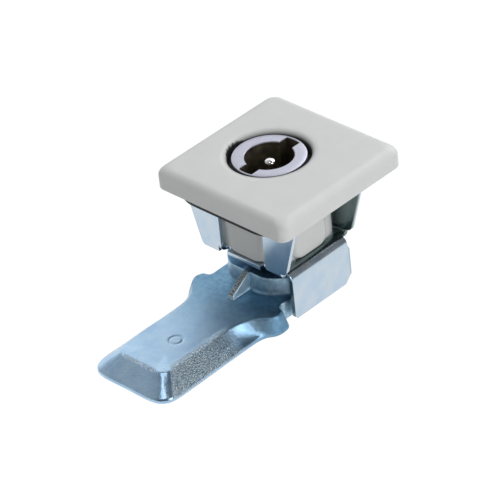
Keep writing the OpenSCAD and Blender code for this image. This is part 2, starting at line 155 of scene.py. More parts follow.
def add_piece(name, skin, body, material, node, sharp_deg=35):
    """One closed skin, given in millimetres, as a piece that rides on a body."""
    verts, faces = skin
    mesh = bpy.data.meshes.new(name)
    mesh.from_pydata([tuple(v) for v in np.asarray(verts, float) * MM], [], faces)
    mesh.validate()
    tidy = bmesh.new()
    tidy.from_mesh(mesh)
    bmesh.ops.remove_doubles(tidy, verts=tidy.verts, dist=1e-7)
    bmesh.ops.dissolve_degenerate(tidy, edges=tidy.edges, dist=1e-7)
    bmesh.ops.recalc_face_normals(tidy, faces=tidy.faces)
    tidy.to_mesh(mesh)
    tidy.free()
    dress(name, mesh, body, material, node, sharp_deg)


def dress(name, mesh, body, material, node, sharp_deg):
    """Makes an object of a mesh, with its shading, material, body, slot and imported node."""
    piece = new_object(name, mesh)
    mesh.materials.clear()
    mesh.materials.append(material)
    mesh.shade_smooth()
    mesh.set_sharp_from_angle(angle=math.radians(sharp_deg))
    even = piece.modifiers.new("even_normals", "WEIGHTED_NORMAL")
    even.keep_sharp = True
    even.weight = 80
    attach(piece, body)
    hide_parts(node)


def loft(rings, closed=False):
    """Vertices and faces of a skin through rings of equal length."""
    count = len(rings[0])
    verts = np.concatenate(rings)
    faces = []
    for k in range(len(rings) if closed else len(rings) - 1):
        a, b = k * count, ((k + 1) % len(rings)) * count
        for i in range(count):
            j = (i + 1) % count
            faces.append((a + i, a + j, b + j, b + i))
    if not closed:
        faces.append(tuple(range(count - 1, -1, -1)))
        faces.append(tuple(range((len(rings) - 1) * count, len(rings) * count)))
    return verts, faces


def reach(outline, angles):
    """Distance from the axis to a star-shaped outline, in each direction."""
    points = np.asarray(outline, float)
    around = np.unwrap(np.arctan2(points[:, 1], points[:, 0]))
    if around[-1] < around[0]:
        points, around = points[::-1], around[::-1]
    points = np.vstack([points, points[:1]])
    around = np.append(around, around[0] + TAU)
    wanted = (np.asarray(angles) - around[0]) % TAU + around[0]
    at = np.clip(np.searchsorted(around, wanted, side="right") - 1, 0, len(points) - 2)
    p, along = points[at], points[at + 1] - points[at]
    facing = np.column_stack([np.cos(wanted), np.sin(wanted)])
    cross = facing[:, 0] * along[:, 1] - facing[:, 1] * along[:, 0]
    cross = np.where(np.abs(cross) < 1e-9, 1e-9, cross)
    return (p[:, 0] * along[:, 1] - p[:, 1] * along[:, 0]) / cross


def ring_at(radius, z, angles):
    """Ring of points at a radius, which may change round the ring, and a height."""
    radius = np.broadcast_to(np.asarray(radius, float), angles.shape)
    z = np.broadcast_to(np.asarray(z, float), angles.shape)
    return np.column_stack([radius * np.cos(angles), radius * np.sin(angles), z])


def even_angles(*extra, step_deg=1.0):
    """Even directions round the axis, with extra ones where an outline turns."""
    angles = np.radians(np.arange(0, 360, step_deg))
    for outline in extra:
        points = np.asarray(outline, float)
        angles = np.append(angles, np.arctan2(points[:, 1], points[:, 0]) % TAU)
    angles = np.unique(np.round(angles, 5))
    keep = np.append(True, np.diff(angles) > 2e-4)
    return angles[keep]


def arc(cx, cy, r, from_deg, to_deg, steps=8):
    """Points along an arc, ends included."""
    turn = np.radians(np.linspace(from_deg, to_deg, steps + 1))
    return np.column_stack([cx + r * np.cos(turn), cy + r * np.sin(turn)])


def round_square(half, r, mid=0.0, steps=12):
    """Outline of a square with round corners, centred at x = mid."""
    at = half - r
    corners = [arc(mid + at, at, r, 0, 90, steps), arc(mid - at, at, r, 90, 180, steps),
               arc(mid - at, -at, r, 180, 270, steps), arc(mid + at, -at, r, 270, 360, steps)]
    return np.concatenate(corners)


def four_times(points):
    """The points, then the same turned by 90, 180 and 270 degrees."""
    turned = []
    for k in range(4):
        c, s = math.cos(k * TAU / 4), math.sin(k * TAU / 4)
        turned.append(np.asarray(points, float) @ np.array([[c, s], [-s, c]]))
    return np.concatenate(turned)


def lathe(profile, steps=96, closed=True):
    """Skin of a profile of (radius, height) points turned round the axis."""
    angles = np.linspace(0, TAU, steps, endpoint=False)
    return loft([ring_at(r, z, angles) for r, z in profile], closed)


def washer_profile(r_in, r_out, z_low, z_high, edge):
    """Closed profile of a flat washer with broken edges."""
    return [(r_in + edge, z_low), (r_out - edge, z_low), (r_out, z_low + edge),
            (r_out, z_high - edge), (r_out - edge, z_high), (r_in + edge, z_high),
            (r_in, z_high - edge), (r_in, z_low + edge)]


# Materials

def new_material(name):
    """A new material, its shader and the place of a point on the object."""
    material = bpy.data.materials.new(name)
    material.use_nodes = True
    tree = material.node_tree
    place = tree.nodes.new("ShaderNodeTexCoord")
    return material, tree.nodes["Principled BSDF"], place.outputs["Object"]


def srgb(red, green, blue):
    """Linear colour of an 8-bit screen colour."""
    linear = []
    for part in (red / 255, green / 255, blue / 255):
        linear.append(part / 12.92 if part <= 0.04045 else ((part + 0.055) / 1.055) ** 2.4)
    return (*linear, 1.0)


def noise(place, size_mm, detail, rough=0.5, stretch=None):
    """Noise whose features are about size_mm across, from 0 to 1."""
    tree = place.id_data
    node = tree.nodes.new("ShaderNodeTexNoise")
    node.inputs["Scale"].default_value = 1 / (size_mm * MM)
    node.inputs["Detail"].default_value = detail
    node.inputs["Roughness"].default_value = rough
    if stretch:
        mapping = tree.nodes.new("ShaderNodeMapping")
        mapping.inputs["Scale"].default_value = stretch
        feed(place, mapping.inputs["Vector"])
        place = mapping.outputs["Vector"]
    feed(place, node.inputs["Vector"])
    return node.outputs["Fac"]


def ramp(value, low, high, from_low=0.3, from_high=0.7):
    """A number from low to high as value goes from from_low to from_high."""
    node = value.id_data.nodes.new("ShaderNodeMapRange")
    node.inputs["From Min"].default_value = from_low
    node.inputs["From Max"].default_value = from_high
    node.inputs["To Min"].default_value = low
    node.inputs["To Max"].default_value = high
    feed(value, node.inputs["Value"])
    return node.outputs["Result"]


def mask(length, none_at, full_at):
    """Mask that goes from 0 at one length to 1 at another, both in millimetres."""
    return ramp(length, 0, 1, none_at * MM, full_at * MM)


def feed(value, socket):
    """Sets a socket to a constant, or links a node's output to it."""
    if isinstance(value, (int, float, tuple)):
        socket.default_value = value
    else:
        socket.id_data.links.new(value, socket)


def combine(operation, first, second=0):
    """Result of a maths operation on two numbers, one or both of them a node's output."""
    number = second if isinstance(first, int) else first
    node = number.id_data.nodes.new("ShaderNodeMath")
    node.operation = operation
    feed(first, node.inputs[0])
    feed(second, node.inputs[1])
    return node.outputs[0]


def below(length, limit):
    """Mask that is 1 where a length is less than a limit in millimetres."""
    return combine("LESS_THAN", length, limit * MM)


def above(length, limit):
    """Mask that is 1 where a length is more than a limit in millimetres."""
    return combine("GREATER_THAN", length, limit * MM)


def product(*masks):
    """All the masks multiplied together."""
    total = masks[0]
    for factor in masks[1:]:
        total = combine("MULTIPLY", total, factor)
    return total


def blend_colours(share, first, second):
    """Mix of two colours, each a node's output or an 8-bit (red, green, blue)."""
    node = share.id_data.nodes.new("ShaderNodeMix")
    node.data_type = "RGBA"
    feed(share, node.inputs[0])
    for colour, socket in ((first, node.inputs[6]), (second, node.inputs[7])):
        feed(srgb(*colour) if isinstance(colour, tuple) else colour, socket)
    return node.outputs[2]


def mottled(value, first, second):
    """Colour that wanders between two colours with a noise."""
    return blend_colours(ramp(value, 0, 1), first, second)


def surface(shader, colour, rough, metallic):
    """Gives the shader its colour, its roughness and how metallic it is."""
    feed(colour, shader.inputs["Base Color"])
    feed(rough, shader.inputs["Roughness"])
    shader.inputs["Metallic"].default_value = metallic


def bump(shader, height, depth_mm, before=None):
    """Relief of depth_mm for a height from 0 to 1, over an earlier relief if one is given."""
    node = shader.id_data.nodes.new("ShaderNodeBump")
    node.inputs["Strength"].default_value = 1.0
    node.inputs["Distance"].default_value = depth_mm * MM
    feed(height, node.inputs["Height"])
    if before is not None:
        feed(before, node.inputs["Normal"])
    feed(node.outputs["Normal"], shader.inputs["Normal"])
    return node.outputs["Normal"]


def parts_of(vector):
    """The x, y and z of a vector."""
    split = vector.id_data.nodes.new("ShaderNodeSeparateXYZ")
    feed(vector, split.inputs[0])
    return split.outputs["X"], split.outputs["Y"], split.outputs["Z"]


def around_axis(place):
    """Distance of a point from the turning axis, and its height."""
    x, y, height = parts_of(place)
    flat = place.id_data.nodes.new("ShaderNodeCombineXYZ")
    feed(x, flat.inputs["X"])
    feed(y, flat.inputs["Y"])
    radius = place.id_data.nodes.new("ShaderNodeVectorMath")
    radius.operation = "LENGTH"
    feed(flat.outputs[0], radius.inputs[0])
    return radius.outputs["Value"], height


def powder_coat():
    """Light grey powder coat: soft sheen, fine orange peel, faint mottling, painted shade down in the
    bore.
    """
    material, shader, place = new_material("powder_coat")
    mottle = noise(place, 6, 4)
    fleck = noise(place, 0.25, 2)
    share = combine("ADD", ramp(mottle, 0, 0.7), ramp(fleck, 0, 0.3))
    coated = blend_colours(share, (200, 203, 202), (207, 209, 208))
    radius, height = around_axis(place)
    # Painted shade: inside the bore the coat turns dark grey (58, 58, 57), starting a little above the
    # insert's face and going down, for the shade there.
    bore_reach, bore_dark_z, bore_light_z = 12.0, face_z - 0.3, face_z + 0.75
    bore = product(below(radius, bore_reach), mask(height, bore_light_z, bore_dark_z), above(height, 0))
    surface(shader, blend_colours(bore, coated, (58, 58, 57)), ramp(mottle, 0.40, 0.48), 0.0)
    shader.inputs["Specular IOR Level"].default_value = 0.45
    wave = bump(shader, noise(place, 0.9, 2), 0.012)
    bump(shader, fleck, 0.004, before=wave)
    return material


def plated_sheet():
    """Blue-passivated zinc on rolled sheet: near mirror, faint rolling lines, painted shade where it is
    sheltered.
    """
    material, shader, place = new_material("plated_sheet")
    cloud = noise(place, 5, 3)
    lines = noise(place, 0.5, 3, stretch=(1, 8, 8))
    grain = noise(place, 0.12, 2)
    x, y, z = parts_of(place)
    # Painted shade: the inner faces of the rear wings, the plate beside the stop's bend and the stop's
    # low cut edge turn grey-green (118, 134, 133), for the shade and dark reflections there.
    wing_face = body_half + bend_r
    wing_inside_shade = product(mask(y, wing_face - 1.6, wing_face - 0.4),
                          mask(y, wing_face + 0.7, wing_face + 0.4),
                          mask(x, wing_inner - 2.85, wing_inner - 0.85))
    stop_bend_shade = product(mask(x, BEND_X + 1.9, BEND_X + 0.6), above(x, BEND_X - 0.8),
                        below(combine("ABSOLUTE", y), body_half - 0.1))
    stop_edge_shade = product(above(x, stop_in - 0.4), below(y, 0.08 - stop_half), below(z, plate_bottom - 1))
    painted_shade = combine("MAXIMUM", combine("MAXIMUM", wing_inside_shade, stop_bend_shade), stop_edge_shade)
    plating = mottled(cloud, (180, 200, 218), (198, 210, 219))
    surface(shader, blend_colours(painted_shade, plating, (118, 134, 133)),
            combine("ADD", ramp(lines, 0.17, 0.25), ramp(cloud, 0, 0.05)), 1.0)
    wave = bump(shader, noise(place, 3.5, 1), 0.008)
    fine = bump(shader, lines, 0.0015, before=wave)
    bump(shader, grain, 0.0008, before=fine)
    return material


def plated_casting():
    """Blue-passivated zinc on a die casting: smooth on the flats, grainy on the slopes, with painted
    shade near the hub and a painted highlight on the rib's sides.
    """
    material, shader, place = new_material("plated_casting")
    cloud = noise(place, 5, 5, 0.62)
    grain = ramp(noise(place, 0.38, 2, 0.6), 0, 1, 0.38, 0.62)
    skin = noise(place, 1.1, 3)
    facing = place.id_data.nodes.new("ShaderNodeNewGeometry")
    level = combine("ABSOLUTE", parts_of(facing.outputs["True Normal"])[2])

    # Distances out along the blade, to either side of its middle, and past the tip's corner lines
    x, y, _ = parts_of(place)
    out = combine("MULTIPLY", y, -1)
    middle = combine("ABSOLUTE", x)
    left_shift = 1.2
    left = combine("SUBTRACT", combine("MULTIPLY", x, -1), left_shift * MM)
    corner_slant, corner_out = 0.64, 44.2
    past = combine("SUBTRACT", out, combine("MULTIPLY", middle, corner_slant))
    past = combine("MAXIMUM", combine("SUBTRACT", past, corner_out * MM), 0)
    aside = combine("SUBTRACT", combine("MAXIMUM", x, left), combine("MULTIPLY", past, 3))

    # Grainy side slopes and a grainy line along the top of the tip's slope, but smooth corners
    smooth_side, grainy_side, smooth_out, grainy_out = 7.0, 9.0, 28, 33
    flank = product(mask(aside, smooth_side, grainy_side), mask(out, smooth_out, grainy_out))
    facet_slant = 0.445
    lean = combine("SUBTRACT", middle, combine("MULTIPLY", out, facet_slant))
    facet = product(mask(past, 0, 0.7), mask(lean, -18.3, -17.4))
    tip_out = 52.9
    tip_line = product(ramp(out, 0, 0.6, (tip_out - 0.7) * MM, (tip_out - 0.3) * MM),
                       ramp(out, 1, 0.1, (tip_out + 0.2) * MM, (tip_out + 0.7) * MM),
                       combine("SUBTRACT", 1, facet))
    grainy = product(combine("MAXIMUM", flank, tip_line), ramp(level, 0, 1, 0.12, 0.3))

    # The rib's sloping top, the walls of the hub and the sides of the rib, whose pale colour is a
    # painted highlight
    rib_top = product(mask(middle, rib_half + 0.25, rib_half + 0.05),
                      mask(out, rib_toe + 0.4, rib_toe + 0.1), ramp(level, 0, 1, 0.3, 0.5),
                      mask(out, rib_back - 0.4, rib_back))
    hub_wall = product(mask(out, 24, 19), ramp(level, 1, 0, 0.4, 0.8),
                       mask(middle, hub_half + 1.2, hub_half + 0.2))
    rib_side = product(mask(middle, rib_half + 1.1, rib_half + 0.5),
                       hub_wall, mask(out, rib_back + 0.2, rib_back + 0.8))

    # Painted shade: the blade's top darkens towards the hub (near), for the shade and dark reflection
    # of the hub and bracket there; the hub's walls keep a pale tint outside that shade.
    far = mottled(cloud, (154, 187, 219), (182, 212, 235))
    near = mottled(skin, (98, 140, 172), (122, 163, 190))
    wall = blend_colours(ramp(skin, 0, 1, 0.34, 0.66), (158, 190, 211), (188, 216, 232))
    speckled = blend_colours(grain, (146, 178, 202), (232, 247, 255))
    # The rib's sloping top is darker and speckled.
    dark_speckled = blend_colours(grain, (92, 104, 110), (190, 203, 210))
    near_out, far_out = 17, 37
    colour = blend_colours(mask(out, far_out, near_out), far, near)
    # The rib's sides get (222, 240, 247), a painted highlight of what they reflect.
    for share, paint in ((hub_wall, wall), (rib_side, (222, 240, 247)), (grainy, speckled),
                         (rib_top, dark_speckled)):
        colour = blend_colours(share, colour, paint)

    facet_polish, grain_polish, wall_dulling = 0.12, 0.12, 0.14
    rough = combine("SUBTRACT", ramp(cloud, 0.33, 0.41), combine("MULTIPLY", facet, facet_polish))
    walls = product(ramp(out, wall_dulling, 0, 18 * MM, 22 * MM), ramp(level, 1, 0, 0.3, 0.7))
    rough = combine("ADD", rough, walls)
    rough = combine("SUBTRACT", rough, combine("MULTIPLY", grainy, grain_polish))
    surface(shader, colour, rough, 1.0)
    wave = bump(shader, skin, 0.05)
    bumpy = combine("MAXIMUM", grainy, combine("MULTIPLY", rib_top, 0.4))
    bump(shader, product(grain, ramp(bumpy, 0.02, 1.0, 0, 1)), 0.42, before=wave)
    return material


def insert_zinc():
    """Pale lavender zinc of the key insert, with a fine shot texture and a brown socket."""
    material, shader, place = new_material("insert_zinc")
    cloud = noise(place, 3, 3)
    grain = noise(place, 0.16, 2)
    face = mottled(grain, (172, 174, 190), (198, 199, 212))
    socket = mottled(cloud, (84, 79, 68), (136, 128, 108))
    radius, height = around_axis(place)
    inside = product(below(radius, slot_reach + 0.05), mask(height, face_z - 0.2, face_z - 0.45))
    surface(shader, blend_colours(inside, face, socket), ramp(cloud, 0.36, 0.46), 0.85)
    bump(shader, grain, 0.006)
    return material


def steel(name, first, second, smoothest, roughest):
    """Turned or pressed steel: fine turning lines and a little cloud."""
    material, shader, place = new_material(name)
    cloud = noise(place, 1.5, 3)
    lines = noise(place, 0.2, 2, stretch=(1, 1, 6))
    surface(shader, mottled(cloud, first, second), ramp(lines, smoothest, roughest), 1.0)
    bump(shader, lines, 0.002)
    return material


def rubber(name, tone):
    """Black rubber: dull, with a fine moulded grain."""
    material, shader, place = new_material(name)
    grain = noise(place, 0.15, 3)
    colour = mottled(noise(place, 4, 3), (tone, tone, tone), (tone + 8, tone + 8, tone + 9))
    surface(shader, colour, ramp(grain, 0.55, 0.75), 0.0)
    bump(shader, grain, 0.01)
    return material


COAT = powder_coat()
SHEET = plated_sheet()
CASTING = plated_casting()
ZINC = insert_zinc()
PIN = steel("pin_steel", (226, 226, 228), (242, 242, 242), 0.08, 0.16)
SCREW = steel("screw_steel", (180, 192, 204), (206, 212, 218), 0.22, 0.34)
WASHER = steel("washer_steel", (186, 198, 208), (208, 214, 220), 0.2, 0.32)
SPRING = steel("spring_steel", (58, 60, 66), (80, 82, 88), 0.35, 0.5)
GASKET = rubber("gasket_rubber", 12)
SEAL = rubber("seal_rubber", 30)


# Housing

# The bore's mouth is a little oval, with a rolled edge and a ragged notch in it, as photographed:
# radii in mm, and directions round the axis in degrees
mouth_r, mouth_oval, dish_r = 10.7, 0.75, 13.0
MOUTH_LONG = 47.0
CHIP_AT, CHIP_HALF, CHIP_DEEP = 196.0, 18.0, 1.1


def corner_draw(r, up):
    """How far a round lower corner draws in at a height above its foot."""
    return r - math.sqrt(max(r ** 2 - (r - up) ** 2, 0)) if up < r else 0.0


def body_outline(z, inset=0.0):
    """Outline of the body with its four pads at a height."""
    up = z - body_bottom
    half = pad_half - corner_draw(pad_corner_r, up)
    least_rise = 0.02
    drop = min(corner_draw(pad_lower_r, up), pad_face - body_half - least_rise)
    edge_x = pad_face - drop - inset - pad_edge_r
    edge_y = half - pad_edge_r
    flat = body_half - inset
    start = math.degrees(math.acos(min((flat - edge_x) / pad_edge_r, 1)))
    corner = body_half - body_corner_r
    beside = half + 0.6
    return four_times(np.concatenate([
        [[flat, -beside]], arc(edge_x, -edge_y, pad_edge_r, -start, 0, 7),
        arc(edge_x, edge_y, pad_edge_r, 0, start, 7), [[flat, beside]],
        arc(corner, corner, body_corner_r - inset, 0, 90)]))


def flange_outline(inset):
    """Outline of the flange, drawn in where its edge is rolled over."""
    return round_square(flange_half - inset, flange_corner_r + 0.35 * inset, flange_mid)


def chip_depth(angles):
    """Depth of the rough notch in the mouth's rolled edge, by direction."""
    off = (np.degrees(angles) - CHIP_AT + 180) % 360 - 180
    ragged = 0.7 + 0.3 * np.sin(off * 1.7) * np.cos(off * 0.9)
    return CHIP_DEEP * ragged * np.clip(1.3 - np.abs(off) / CHIP_HALF, 0, 1) ** 0.5


def make_housing():
    """Flange, body and pads as one closed skin from the mouth to the underside."""
    angles = even_angles(flange_outline(0), flange_outline(edge_run),
                         body_outline(body_bottom + pad_corner_r), step_deg=0.75)

    def outline_ring(outline, z):
        return ring_at(reach(outline, angles), z, angles)

    under_r = 0.35
    rings = [outline_ring(flange_outline(under_r), 0), outline_ring(flange_outline(0.1), 0.1),
             outline_ring(flange_outline(0), under_r)]
    for turn in np.radians(np.linspace(0, 90, 11)):
        rings.append(outline_ring(flange_outline(edge_run * (1 - math.cos(turn))),
                                  flange_top - edge_rise * (1 - math.sin(turn))))
    inner = reach(flange_outline(edge_run), angles)
    for share in (0.15, 0.4, 0.7, 1.0):
        rings.append(ring_at(inner + (dish_r - inner) * share, flange_top, angles))
    chip = chip_depth(angles)
    mouth = mouth_r - 0.5 + mouth_oval * np.cos(angles - math.radians(MOUTH_LONG)) ** 2
    # Share of the way out from the mouth to the dish's rim, and drop below the flange's top
    rolled_edge = ((1, 0.02), (0.85, 0.06), (0.68, 0.13), (0.5, 0.22), (0.34, 0.35),
                   (0.2, 0.52), (0.1, 0.75), (0.03, 1.05), (0, 1.4), (0, 2.0))
    chip_top = 0.1
    for share, drop in rolled_edge:
        rolled = mouth + (dish_r - 0.3 - mouth) * share
        rings.append(ring_at(np.maximum(rolled, mouth + chip) if drop > chip_top else rolled,
                             flange_top - drop, angles))
    track_gap = 0.2
    track_from_deg, track_to_deg = 344.5, 105.5
    in_track = (np.degrees(angles) < track_to_deg) | (np.degrees(angles) > track_from_deg)
    track = np.where(in_track, lug_bottom - track_gap, head_bore_floor)
    break_edge = 0.3
    for r, z in ((mouth, mouth_floor), (head_bore_r, mouth_floor), (head_bore_r, head_bore_floor),
                 (lug_r + track_gap, head_bore_floor), (lug_r + track_gap - 0.02, track),
                 (journal_bore_r, track), (journal_bore_r, body_bottom + break_edge),
                 (journal_bore_r + break_edge, body_bottom)):
        rings.append(ring_at(r, z, angles))
    foot = reach(body_outline(body_bottom, 0.4), angles)
    rings.append(ring_at(foot * 0.5 + journal_bore_r * 0.5, body_bottom, angles))
    for up, inset in ((0.0, 0.4), (0.05, 0.2), (0.2, 0.06), (0.4, 0), (0.65, 0), (0.9, 0),
                      (1.3, 0), (1.8, 0), (2.3, 0), (2.8, 0)):
        rings.append(outline_ring(body_outline(body_bottom + up, inset), body_bottom + up))
    root_r = 0.5
    for z, inset in ((-root_r, 0), (-0.15, -0.15), (0, -root_r)):
        rings.append(outline_ring(body_outline(-root_r, inset), z))
    add_piece("housing_casting", loft(rings, closed=True), "housing", COAT,
              "housing", sharp_deg=40)


def make_gasket():
    """Moulded rubber gasket with soft edges."""
    half = (gasket_high[1] - gasket_low[1]) / 2
    low, high = gasket_low[2], gasket_high[2]
    hole, hole_r = 12.6, 2
    outer_r = 10.0
    angles = even_angles(round_square(half, outer_r, gasket_mid), round_square(hole, hole_r),
                         step_deg=1.5)
    rings = []
    for inset, z in ((0.3, low), (0.08, low + 0.1), (0, low + 0.35), (0, (low + high) / 2),
                     (0, high - 0.35), (0.08, high - 0.1), (0.3, high)):
        outline = round_square(half - inset, outer_r - inset, gasket_mid)
        rings.append(ring_at(reach(outline, angles), z, angles))
    for flare, z in ((0.2, high), (0, high - 0.2), (0, low + 0.2), (0.2, low)):
        rings.append(ring_at(reach(round_square(hole + flare, hole_r), angles), z, angles))
    add_piece("gasket_ring", loft(rings, closed=True), "housing", GASKET,
              "flange_gasket")


# Key insert and pin

def socket_outline(grow=0.0):
    """Round socket with its two slots, grown outwards."""
    half, far, r = slot_half + grow, slot_reach + grow, socket_r + grow
    open_deg = math.degrees(math.asin(half / r))
    far_deg = math.degrees(math.asin(half / far))
    return np.concatenate([arc(0, 0, r, -90 + open_deg, 90 - open_deg, 24),
                           arc(0, 0, far, 90 - far_deg, 90 + far_deg, 8),
                           arc(0, 0, r, 90 + open_deg, 270 - open_deg, 24),
                           arc(0, 0, far, 270 - far_deg, 270 + far_deg, 8)])


def make_insert():
    """Insert as one closed skin: socket, face, head, lug, journal, grooves, shank, screw hole."""
    angles = even_angles(socket_outline(), socket_outline(0.18), round_square(shank_half, 0.3),
                         step_deg=1.5)
    lug = np.abs(np.degrees(angles) - 90) < lug_half_deg

    def outline_ring(outline, z):
        return ring_at(reach(outline, angles), z, angles)

    pin_r = (pin_high[0] - pin_low[0]) / 2
    edge = 0.18
    rings = [ring_at(pin_r * 0.5, socket_floor, angles)]
    for grow, z in ((-0.25, socket_floor), (-0.05, socket_floor + 0.08), (0, socket_floor + 0.3),
                    (0, face_z - edge), (edge * 0.6, face_z - edge * 0.3), (edge, face_z)):
        rings.append(outline_ring(socket_outline(grow), z))
    face_in = reach(socket_outline(edge), angles)
    rings.append(ring_at(face_in * 0.5 + (head_r - 0.35) * 0.5, face_z, angles))
    for r, z in ((head_r - 0.3, face_z), (head_r - 0.1, face_z - 0.08), (head_r, face_z - 0.3),
                 (head_r, head_bottom)):
        rings.append(ring_at(r, z, angles))
    step_r = np.where(lug, lug_r, journal_r)
    rings.append(ring_at(lug_r, head_bottom, angles))
    rings.append(ring_at(np.where(lug, lug_r, journal_r + 0.2), head_bottom - 0.01, angles))
    rings.append(ring_at(step_r, np.where(lug, lug_bottom, head_bottom - 0.2), angles))
    rings.append(ring_at(journal_r, np.where(lug, lug_bottom - 0.01, head_bottom - 0.4), angles))
    groove_half = 0.95
    groove_top, groove_foot = seal_mid + groove_half, seal_mid - groove_half
    for r, z in ((journal_r, groove_top + 0.1), (seal_groove_r + 0.1, groove_top),
                 (seal_groove_r, groove_top - 0.1), (seal_groove_r, groove_foot + 0.1),
                 (seal_groove_r + 0.1, groove_foot), (journal_r, groove_foot - 0.1),
                 (journal_r, clip_high[2] + 0.05), (clip_floor_r, clip_high[2] + 0.05),
                 (clip_floor_r, clip_low[2] - 0.05), (journal_r, clip_low[2] - 0.05),
                 (journal_r, shank_top + 0.15), (journal_r - 0.15, shank_top)):
        rings.append(ring_at(r, z, angles))
    for half, z in ((shank_half, shank_top), (shank_half, shank_end + 0.35),
                    (shank_half - 0.35, shank_end)):
        rings.append(outline_ring(round_square(half, 0.3), z))
    screw_hole_r, screw_hole_top = 3.1, -25.0
    rings.append(ring_at(screw_hole_r, shank_end, angles))
    rings.append(ring_at(screw_hole_r, screw_hole_top, angles))
    add_piece("insert_turning", loft(rings), "cam_shaft", ZINC, "key_insert")


def make_pin():
    """Centre pin with a full domed tip and a shoulder on the socket's floor."""
    r = (pin_high[0] - pin_low[0]) / 2
    top = pin_high[2]
    dome = r * 0.6
    spigot_r = r - 0.25
    profile = [(0.02, pin_low[2]), (spigot_r, pin_low[2]), (spigot_r, socket_floor),
               (r, socket_floor), (r, top - dome - 0.05)]
    for turn in np.radians(np.linspace(4, 88, 14)):
        profile.append((r * math.cos(turn), top - dome + dome * math.sin(turn)))
    add_piece("pin_turned", lathe(profile, 64, closed=False), "cam_shaft", PIN,
              "centre_pin")


# Bracket

def plate_curve(name, outlines, thickness, edge):
    """Closed mesh of a flat plate with holes and broken edges, between z 0 and thickness."""
    curve = bpy.data.curves.new(name, "CURVE")
    curve.dimensions = "2D"
    curve.fill_mode = "BOTH"
    curve.extrude = (thickness / 2 - edge) * MM
    curve.bevel_depth = edge * MM
    curve.bevel_resolution = 1
    curve.offset = -edge * MM
    for outline in outlines:
        spline = curve.splines.new("POLY")
        spline.points.add(len(outline) - 1)
        spline.use_cyclic_u = True
        for point, (x, y) in zip(spline.points, outline):
            point.co = (x * MM, y * MM, 0, 1)
    holder = new_object(name, curve)
    seen = holder.evaluated_get(bpy.context.evaluated_depsgraph_get())
    mesh = bpy.data.meshes.new_from_object(seen)
    bpy.data.objects.remove(holder)
    mesh.transform(Matrix.Translation((0, 0, thickness / 2 * MM)))
    return mesh


def bracket_blank():
    """Outline of the flat blank: four wings, the plate and the strip of the stop."""
    slit = 0.06
    up = BEND_Y + WING_BEND
    foot = up - bend_r - sheet - 0.5
    top = up + wing_top - plate_top - bend_r
    tip = wing_outer + wing_lean * (wing_top - plate_bottom)
    high = wing_outer + wing_lean * (bend_r + sheet)
    edge_y = BEND_Y - 0.3
    relief_y = BEND_Y + 0.5
    low_corner = arc(wing_outer - wing_corner_r, foot + wing_corner_r, wing_corner_r, 280, 350, 8)
    high_corner = arc(high - wing_corner_r, up + wing_corner_r, wing_corner_r, 280, 350, 8)
    relief = arc(STRIP_HALF, relief_y, relief_r, 180, 360, 10)
    inner = [(tip, top), (wing_inner, top), (wing_inner, relief_y)]
    inner += [tuple(p) for p in relief[::-1][1:]]
    inner += [(wing_inner - 2 * relief_r, BEND_Y + bend_r + sheet)]
    high_wing = [(high - wing_corner_r, edge_y), (high - wing_corner_r, up),
                 *map(tuple, high_corner), *inner]
    low_wing = [(LOW_ROOT - slit, edge_y), (LOW_ROOT - slit, up), (LOW_ROOT + slit, up),
                (LOW_ROOT + slit, foot), *map(tuple, low_corner), *inner]
    top_row = high_wing + [(-x, y) for x, y in low_wing[::-1]]
    low_row = [(x, -y) for x, y in top_row[::-1]]
    side = BEND_X - 0.6
    inner_y = BEND_Y - 0.9
    left = [(-side, inner_y), (-side, -inner_y)]
    flat = BEND_X + STOP_BEND
    end = flat + plate_bottom - stop_bend_r - stop_foot
    small = stop_cut / 3
    stop = [(side, -inner_y), (BEND_X, -stop_half), (end - small, -stop_half),
            (end, -stop_half + small), (end, stop_half - stop_cut), (end - stop_cut, stop_half),
            (flat + stop_cut / 2, stop_half), (flat, stop_half - stop_cut / 4),
            (BEND_X, stop_half - stop_cut / 4), (side, inner_y)]
    return top_row + left + low_row + stop


def bend_over(run, radius, length):
    """Distance out and rise of a point that lies run past the start of a quarter bend."""
    turn = min(run / length, 1) * math.pi / 2
    rest = max(run - length, 0)
    out = radius * math.sin(turn) + rest * math.cos(turn)
    return out, rest * math.sin(turn) - radius * math.cos(turn)


def fold(x, y, z):
    """Where a point of the flat blank lies once the wings and the stop plate are bent."""
    run = abs(y) - BEND_Y
    if x < -LOW_ROOT and run > -0.1:
        out = BEND_Y + bend_r + plate_top - z
        return x, math.copysign(out, y), plate_top + bend_r + run - WING_BEND
    if run > 0 and abs(x) > STRIP_HALF:
        out, rise = bend_over(run, bend_r + plate_top - z, WING_BEND)
        return x, math.copysign(BEND_Y + out, y), plate_top + bend_r + rise
    if x > BEND_X:
        out, rise = bend_over(x - BEND_X, stop_bend_r + z - plate_bottom, STOP_BEND)
        return BEND_X + out, y, plate_bottom - stop_bend_r - rise
    return x, y, z


